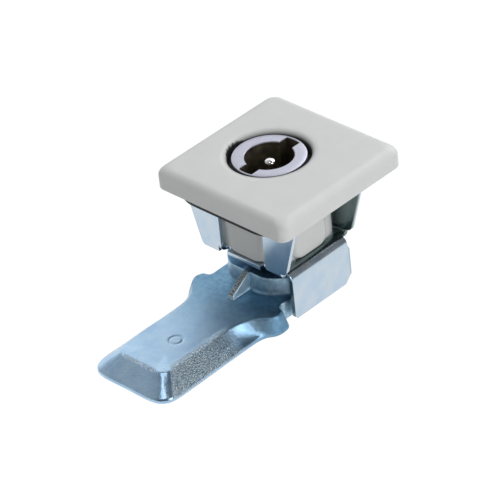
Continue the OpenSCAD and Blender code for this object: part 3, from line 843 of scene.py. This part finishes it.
def make_bracket():
    """Sheet bracket, cut flat and then bent like the real one."""
    screw_at, screw_r = 7.4, 1.55
    broken_edge = 0.13
    outlines = [bracket_blank(), arc(0, 0, plate_hole_r, 0, 355, 71)]
    for at in (-screw_at, screw_at):
        outlines.append(arc(at, at, screw_r, 0, 345, 23))
    mesh = plate_curve("bracket_sheet", outlines, sheet, broken_edge)
    work = bmesh.new()
    work.from_mesh(mesh)
    bmesh.ops.remove_doubles(work, verts=work.verts, dist=1e-6)
    cuts = 8
    for k in range(cuts + 1):
        up, over = BEND_Y + k * WING_BEND / cuts, BEND_X + k * STOP_BEND / cuts
        for place, normal in (((0, up, 0), (0, 1, 0)), ((0, -up, 0), (0, 1, 0)),
                              ((over, 0, 0), (1, 0, 0))):
            bmesh.ops.bisect_plane(work, geom=work.verts[:] + work.edges[:] + work.faces[:],
                                   plane_co=Vector(place) * MM, plane_no=normal, dist=1e-7)
    for vert in work.verts:
        x, y, z = (c / MM for c in vert.co)
        vert.co = Vector(fold(x, y, z + plate_bottom)) * MM
    bmesh.ops.recalc_face_normals(work, faces=work.faces)
    work.to_mesh(mesh)
    work.free()
    dress("bracket_sheet", mesh, "housing", SHEET, "bracket", sharp_deg=40)


# Cam casting, from a distance field

def surface_nets(field, low, step):
    """Vertices and quads of the zero level of a field that is negative inside."""
    cells = tuple(n - 1 for n in field.shape)
    total = np.zeros(cells + (3,))
    count = np.zeros(cells)
    crossings = []
    for axis in range(3):
        first = [slice(None)] * 3
        second = [slice(None)] * 3
        first[axis], second[axis] = slice(0, -1), slice(1, None)
        a, b = field[tuple(first)], field[tuple(second)]
        cross = (a < 0) != (b < 0)
        i, j, k = np.nonzero(cross)
        va, vb = a[i, j, k], b[i, j, k]
        point = np.column_stack([i, j, k]).astype(float)
        point[:, axis] += va / (va - vb)
        crossings.append((axis, i, j, k, va < 0))
        others = [n for n in range(3) if n != axis]
        for d0 in (0, 1):
            for d1 in (0, 1):
                cell = np.column_stack([i, j, k])
                cell[:, others[0]] -= d0
                cell[:, others[1]] -= d1
                ok = np.all((cell >= 0) & (cell < np.array(cells)), axis=1)
                at = tuple(cell[ok].T)
                np.add.at(total, at, point[ok])
                np.add.at(count, at, 1)
    used = count > 0
    index = np.full(cells, -1)
    index[used] = np.arange(used.sum())
    verts = total[used] / count[used][:, None] * step + np.asarray(low)
    faces = []
    for axis, i, j, k, outward in crossings:
        others = [n for n in range(3) if n != axis]
        cell = np.column_stack([i, j, k])
        corner = []
        for d0, d1 in ((0, 0), (1, 0), (1, 1), (0, 1)):
            c = cell.copy()
            c[:, others[0]] -= d0
            c[:, others[1]] -= d1
            corner.append(c)
        ok = np.all([np.all((c >= 0) & (c < np.array(cells)), axis=1) for c in corner], axis=0)
        quad = np.column_stack([index[tuple(c[ok].T)] for c in corner])
        flip = outward[ok] ^ (axis == 1)
        quad[flip] = quad[flip][:, ::-1]
        faces.append(quad)
    return verts, np.concatenate(faces).tolist()


def soft_max(a, b, width):
    """Larger of two fields, rounded over a width."""
    share = np.clip(0.5 + 0.5 * (a - b) / width, 0, 1)
    return b + (a - b) * share + width * share * (1 - share)


def soft_min(a, b, width):
    """Smaller of two fields, rounded over a width."""
    return -soft_max(-a, -b, width)


def outline_distance(x, y, outline):
    """Distance to a closed outline, negative inside."""
    points = np.asarray(outline, float)
    best = np.full(x.shape, 1e9)
    inside = np.zeros(x.shape, bool)
    for p, q in zip(points, np.roll(points, -1, axis=0)):
        ex, ey = q - p
        wx, wy = x - p[0], y - p[1]
        share = np.clip((wx * ex + wy * ey) / max(ex * ex + ey * ey, 1e-12), 0, 1)
        best = np.minimum(best, (wx - ex * share) ** 2 + (wy - ey * share) ** 2)
        crosses = ((p[1] <= y) != (q[1] <= y))
        slope = ex / (ey if abs(ey) > 1e-12 else 1e-12)
        inside ^= crosses & (x < p[0] + (y - p[1]) * slope)
    return np.where(inside, -1, 1) * np.sqrt(best)


def blur(grid, width):
    """Small soft blur of a height map, width in samples."""
    reach_n = int(3 * width) + 1
    taps = np.exp(-0.5 * (np.arange(-reach_n, reach_n + 1) / width) ** 2)
    taps /= taps.sum()
    for axis in (0, 1):
        pad = [(reach_n, reach_n) if n == axis else (0, 0) for n in (0, 1)]
        wide = np.pad(grid, pad, mode="edge")
        grid = sum(t * np.take(wide, range(k, k + grid.shape[axis]), axis=axis)
                   for k, t in enumerate(taps))
    return grid


# Stations of the blade's right edge: foot point, top point, how hollow the side is
BLADE_EDGE = np.array([
    (10.5, -6.05, 10.1, -6.05, 0), (12.4, -6.8, 12.2, -6.8, 0), (12.6, -11.3, 12.4, -11.3, 0),
    (12.7, -13.2, 12.5, -13.9, 0), (15.6, -14.1, 14.2, -14.6, 0), (16.2, -16.8, 15.0, -16.9, 0),
    (15.7, -19.1, 13.8, -19.3, 0),
    (14.25, -21.1, 11.7, -21.3, 0.2), (13.65, -23.2, 10.2, -23.4, 0.6), (13.45, -26.6, 9.1, -26.0, 0.9),
    (13.45, -30.0, 8.6, -29.4, 1), (13.45, -34.0, 8.7, -33.6, 0.5), (13.45, -38.0, 9.0, -37.6, 0),
    (13.45, -45.5, 8.9, -45.5, 0), (13.45, -53.4, 8.6, -50.3, 0), (12.0, -56.95, 7.8, -51.9, 0),
    (8.45, -58.4, 6.0, -52.9, 0), (0, -58.4, 0, -52.9, 0)])


def smooth_through(stations, steps=6):
    """Smooth curve through stations, with extra ones between."""
    out = []
    last = len(stations) - 1
    for i in range(last):
        a, b = stations[max(i - 1, 0)], stations[i]
        c, d = stations[i + 1], stations[min(i + 2, last)]
        for k in range(steps):
            t = k / steps
            out.append(0.5 * (2 * b + (c - a) * t + (2 * a - 5 * b + 4 * c - d) * t * t
                              + (3 * b - a - 3 * c + d) * t ** 3))
    out.append(stations[last])
    return np.array(out)


def make_cam():
    """Cast cam: blade, hub and rib blended with casting fillets."""
    step = 0.24
    low = np.array([-17.6, -60.0, cam_bottom - 1.0])
    high = np.array([17.6, 15.0, hub_top + 1.0])
    axes = [np.arange(low[n], high[n], step) for n in range(3)]
    gx, gy = np.meshgrid(axes[0], axes[1], indexing="ij")
    flat_x = gx
    # From 25 to 45 mm out, the blade shifts by up to 0.3 mm to +X
    gx = gx - 0.3 * np.clip((-gy - 25) / 20, 0, 1)
    edge = smooth_through(BLADE_EDGE)
    foot = np.concatenate([edge[:, :2], (edge[:, :2] * [-1, 1])[::-1][1:]])
    crest = np.concatenate([edge[:, 2:4], (edge[:, 2:4] * [-1, 1])[::-1][1:]])
    foot_d = outline_distance(gx, gy, foot)
    crest_d = outline_distance(gx, gy, crest)
    share = np.clip(-foot_d / np.maximum(-foot_d + np.maximum(crest_d, 0), 1e-6), 0, 1)
    order = np.argsort(-edge[:, 3])
    hollow = np.interp(-gy, -edge[order, 3], edge[order, 4])
    height = cam_bottom + rim_h + (blade_t - rim_h) * share ** (1 + hollow)
    height = blur(height, 0.9)
    mark_x, mark_y, mark_r, mark_w, mark_depth = 0.9, -40.3, 1.75, 0.3, 0.2
    around = np.hypot(flat_x - mark_x, gy - mark_y)
    height -= mark_depth * np.exp(-((around - mark_r) / mark_w) ** 2)
    tilt = np.sqrt(1 + sum(g ** 2 for g in np.gradient(height, step)))
    x, y, z = (np.asarray(a) for a in np.meshgrid(*axes, indexing="ij"))
    top = (z - height[:, :, None]) / tilt[:, :, None]
    blade = soft_max(soft_max(top, foot_d[:, :, None] + 0 * z, 0.5), cam_bottom - z, 0.5)
    draft = 0.035
    spread = (hub_top - z) * draft
    square = soft_max(np.abs(x) - hub_half - spread, np.abs(y) - hub_half - spread - 0.3, 1.2)
    hub = soft_max(square, np.hypot(x, y) - hub_r, 0.6)
    hub = soft_max(soft_max(hub, z - hub_top, 0.35), cam_bottom - z, 0.5)
    shape = soft_min(blade, hub, 1.0)
    toe_h = 1.3
    run, fall = rib_toe - rib_back, hub_top - blade_top - toe_h
    length = math.hypot(run, fall)
    crest_line = ((z - blade_top - toe_h) * run - (y + rib_toe) * fall) / length
    rib_draft = 0.02
    rib_side = np.abs(x) - rib_half - (hub_top - z) * rib_draft
    rib = soft_max(soft_max(rib_side, crest_line, 0.12), z - hub_top, 0.2)
    sunk = 2
    inner_end = np.maximum(y + rib_back - sunk, blade_top - sunk - z)
    rib = soft_max(soft_max(rib, -rib_toe - y, 0.2), inner_end, 0.2)
    shape = soft_min(shape, rib, 0.45)
    square_hole_half = 4.55
    shape = soft_max(shape, square_hole_half - np.maximum(np.abs(x), np.abs(y)), 0.25)
    verts, faces = surface_nets(shape, low, step)
    verts[:, 2] = np.maximum(verts[:, 2], cam_bottom)
    add_piece("cam_casting", (verts, faces), "cam_shaft", CASTING, "cam",
              sharp_deg=60)


# Fasteners, washers and seal

def make_washer(node, name, hole_r):
    """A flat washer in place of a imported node."""
    low, high = box_mm(node)
    mid = (low + high) / 2
    r_out = (high[1] - low[1]) / 2
    verts, faces = lathe(washer_profile(hole_r, r_out, low[2], high[2], 0.12))
    add_piece(name, (verts + [mid[0], mid[1], 0], faces), "cam_shaft", WASHER, node)


def open_ring(r_in, r_out, z_low, z_high, from_deg, to_deg):
    """Ring of rectangular section with a gap."""
    section = washer_profile(r_in, r_out, z_low, z_high, 0.1)
    rings = []
    for turn in np.radians(np.linspace(from_deg, to_deg, 73)):
        rings.append(np.array([(r * math.cos(turn), r * math.sin(turn), z) for r, z in section]))
    return loft(rings)


def make_circlip():
    """Open ring in the groove of the journal."""
    ring = open_ring(clip_floor_r + 0.05, clip_high[0], clip_low[2], clip_high[2], 120, 420)
    add_piece("circlip_ring", ring, "cam_shaft", SPRING, "circlip")


def make_lock_washer():
    """Split lock washer under the cam screw's head."""
    low, high = box_mm("cam_lock_washer")
    hole_r = 3.2
    ring = open_ring(hole_r, high[1], low[2], high[2], 5, 355)
    add_piece("lock_washer_ring", ring, "cam_shaft", SCREW, "cam_lock_washer")


def make_seal():
    """Round sealing ring, as squeezed into its groove."""
    r = (seal_high[2] - seal_low[2]) / 2
    mid_r = seal_high[0] - r
    ring = lathe(arc(mid_r, seal_mid, r, 0, 345, 23))
    add_piece("seal_ring", ring, "cam_shaft", SEAL, "insert_seal")


def make_cam_screw():
    """Socket-head screw: knurled head, hexagon socket, plain shank."""
    low, high = box_mm("cam_screw")
    rim, foot, end = high[1], low[2], high[2]
    top = foot + 4.0
    shank_r = 3.0
    socket_depth, socket_corner_r = 2.0, 2.88
    knurls, knurl_depth = 48, 0.12
    angles = np.linspace(0, TAU, knurls * 6, endpoint=False)
    tooth = np.abs(((angles * knurls / TAU) % 1) - 0.5) * 2
    knurl = rim - knurl_depth * tooth
    hexagon = reach(arc(0, 0, socket_corner_r, 0, 300, 5), angles)
    profile = ((0.3, foot + socket_depth), (hexagon, foot + socket_depth), (hexagon, foot + 0.15),
               (hexagon + 0.15, foot), (rim - 0.55, foot), (rim - 0.25, foot + 0.15),
               (knurl, foot + 0.5), (knurl, top - 0.5), (rim - 0.12, top - 0.2), (rim - 0.3, top),
               (shank_r + 0.15, top), (shank_r, top + 0.15), (shank_r, end - 0.5),
               (shank_r - 0.5, end))
    skin = loft([ring_at(r, z, angles) for r, z in profile])
    add_piece("cam_screw_turned", skin, "cam_shaft", SCREW, "cam_screw")


def cross_outline(half, far):
    """Outline of a four-armed recess."""
    return four_times([(half, -half), (far, -half * 0.8), (far, half * 0.8)])


def make_bracket_screw(node):
    """Countersunk screw with a cross recess."""
    low, high = box_mm(node)
    mid = (low + high) / 2
    foot, end = low[2], high[2]
    rim = (high[0] - low[0]) / 2
    shank_r = 1.5
    head_h = rim - shank_r
    cross = cross_outline(0.35, 1.35)
    angles = even_angles(cross, step_deg=5)
    recess = reach(cross, angles)
    tip = reach(cross_outline(0.2, 0.7), angles)
    profile = ((0.05, foot + 1.3), (tip * 0.6, foot + 1.2), (tip, foot + 1.0), (recess, foot),
               (rim - 0.1, foot), (rim, foot + 0.1), (shank_r, foot + head_h + 0.1),
               (shank_r, end - 0.5), (shank_r - 0.5, end))
    verts, faces = loft([ring_at(r, z, angles) for r, z in profile])
    add_piece(node + "_turned", (verts + [mid[0], mid[1], 0], faces), "housing",
              SCREW, node)


make_housing()
make_gasket()
make_insert()
make_pin()
make_bracket()
make_cam()
make_washer("thrust_washer", "thrust_washer_ring", hole_r=7.15)
make_washer("cam_flat_washer", "flat_washer_ring", hole_r=3.2)
make_circlip()
make_lock_washer()
make_seal()
make_cam_screw()
for screw_node in ("bracket_screw_front", "bracket_screw_rear"):
    make_bracket_screw(screw_node)


# Camera, as the photograph was taken: degrees and millimetres

VIEW_AZIMUTH, VIEW_ELEVATION, VIEW_ROLL = 46.99, 34.522, -6.319
VIEW_DISTANCE = 870.3
AIM = Vector((3.860, -13.937, -14.934))
LENS = 244.09


def make_camera():
    """Camera that looks at AIM from its azimuth, elevation and distance."""
    a, e, r = (math.radians(v) for v in (VIEW_AZIMUTH, VIEW_ELEVATION, VIEW_ROLL))
    back = Vector((math.sin(a) * math.cos(e), -math.cos(a) * math.cos(e), math.sin(e)))
    right = Vector((math.cos(a), math.sin(a), 0))
    up = back.cross(right)
    across = math.cos(r) * right + math.sin(r) * up
    above = -math.sin(r) * right + math.cos(r) * up
    data = bpy.data.cameras.new("camera")
    data.lens = LENS
    data.sensor_width = 36
    data.clip_start, data.clip_end = 0.01, 10
    camera = new_object("camera", data)
    turn = Matrix((across, above, back)).transposed().to_4x4()
    camera.matrix_world = Matrix.Translation((AIM + back * VIEW_DISTANCE) * MM) @ turn
    bpy.context.scene.camera = camera


# Studio

def seen_as_white(tree):
    """One for camera, glossy and transmission rays, and nought for the rest."""
    path = tree.nodes.new("ShaderNodeLightPath")
    first = combine("MAXIMUM", path.outputs["Is Camera Ray"], path.outputs["Is Glossy Ray"])
    return combine("MAXIMUM", first, path.outputs["Is Transmission Ray"])


def make_floor():
    """Plain white floor, some way under the part."""
    half, depth = 6.0, 0.16
    mesh = bpy.data.meshes.new("floor")
    mesh.from_pydata([(-half, -half, -depth), (half, -half, -depth), (half, half, -depth),
                      (-half, half, -depth)], [], [(0, 1, 2, 3)])
    floor = new_object("floor", mesh)
    material = bpy.data.materials.new("floor_white")
    material.use_nodes = True
    tree = material.node_tree
    tree.nodes.remove(tree.nodes["Principled BSDF"])
    matt = tree.nodes.new("ShaderNodeBsdfDiffuse")
    matt.inputs["Color"].default_value = (0.85, 0.85, 0.85, 1)
    glow = tree.nodes.new("ShaderNodeEmission")
    glow.inputs["Strength"].default_value = 1.05
    mix = tree.nodes.new("ShaderNodeMixShader")
    feed(combine("MULTIPLY", seen_as_white(tree), 0.9), mix.inputs[0])
    feed(matt.outputs[0], mix.inputs[1])
    feed(glow.outputs[0], mix.inputs[2])
    feed(mix.outputs[0], tree.nodes["Material Output"].inputs["Surface"])
    mesh.materials.append(material)


def make_world():
    """Even studio light; mirrors see a bright ground and a pale wall at the back left instead."""
    world = bpy.data.worlds.new("studio")
    world.use_nodes = True
    bpy.context.scene.world = world
    tree = world.node_tree
    ground = tree.nodes["Background"]
    x, y, z = parts_of(tree.nodes.new("ShaderNodeTexCoord").outputs["Generated"])
    # Strengths by direction: what lights matt surfaces, then three parts of what mirrors see
    diffuse = ramp(z, 0.31, 0.60, 0.0, 0.9)
    back_left = ramp(combine("SUBTRACT", y, x), 0.0, 0.62, 0.6, 1.1)
    left = ramp(x, 0.5, 0.16, -0.5, 0.1)
    low = ramp(z, 1, 0, -0.45, 0.2)
    mirrored = combine("MAXIMUM", combine("ADD", back_left, left), low)
    mix = tree.nodes.new("ShaderNodeMix")
    feed(seen_as_white(tree), mix.inputs[0])
    feed(diffuse, mix.inputs[2])
    feed(mirrored, mix.inputs[3])
    feed(mix.outputs[0], ground.inputs["Strength"])
    ground.inputs["Color"].default_value = (1, 1, 1, 1)


def make_lamp(name, place, size, power):
    """Rectangular lamp that shines at the middle of the part, in metres and watts."""
    aim = Vector((0.002, -0.015, -0.015))
    data = bpy.data.lights.new(name, "AREA")
    data.shape = "RECTANGLE"
    data.size, data.size_y = size
    data.energy = power
    lamp = new_object(name, data)
    lamp.location = place
    lamp.rotation_euler = (Vector(place) - aim).to_track_quat("Z", "Y").to_euler()


make_camera()
make_floor()
make_world()
make_lamp("key", (0.75, 0.03, 0.3), (0.45, 0.45), 2.45)
make_lamp("back", (0.0, 0.65, 0.5), (0.65, 0.65), 3.2)
make_lamp("front", (0.1, -0.18, 0.76), (0.24, 0.24), 0.4)

bpy.context.scene.view_settings.view_transform = "Standard"
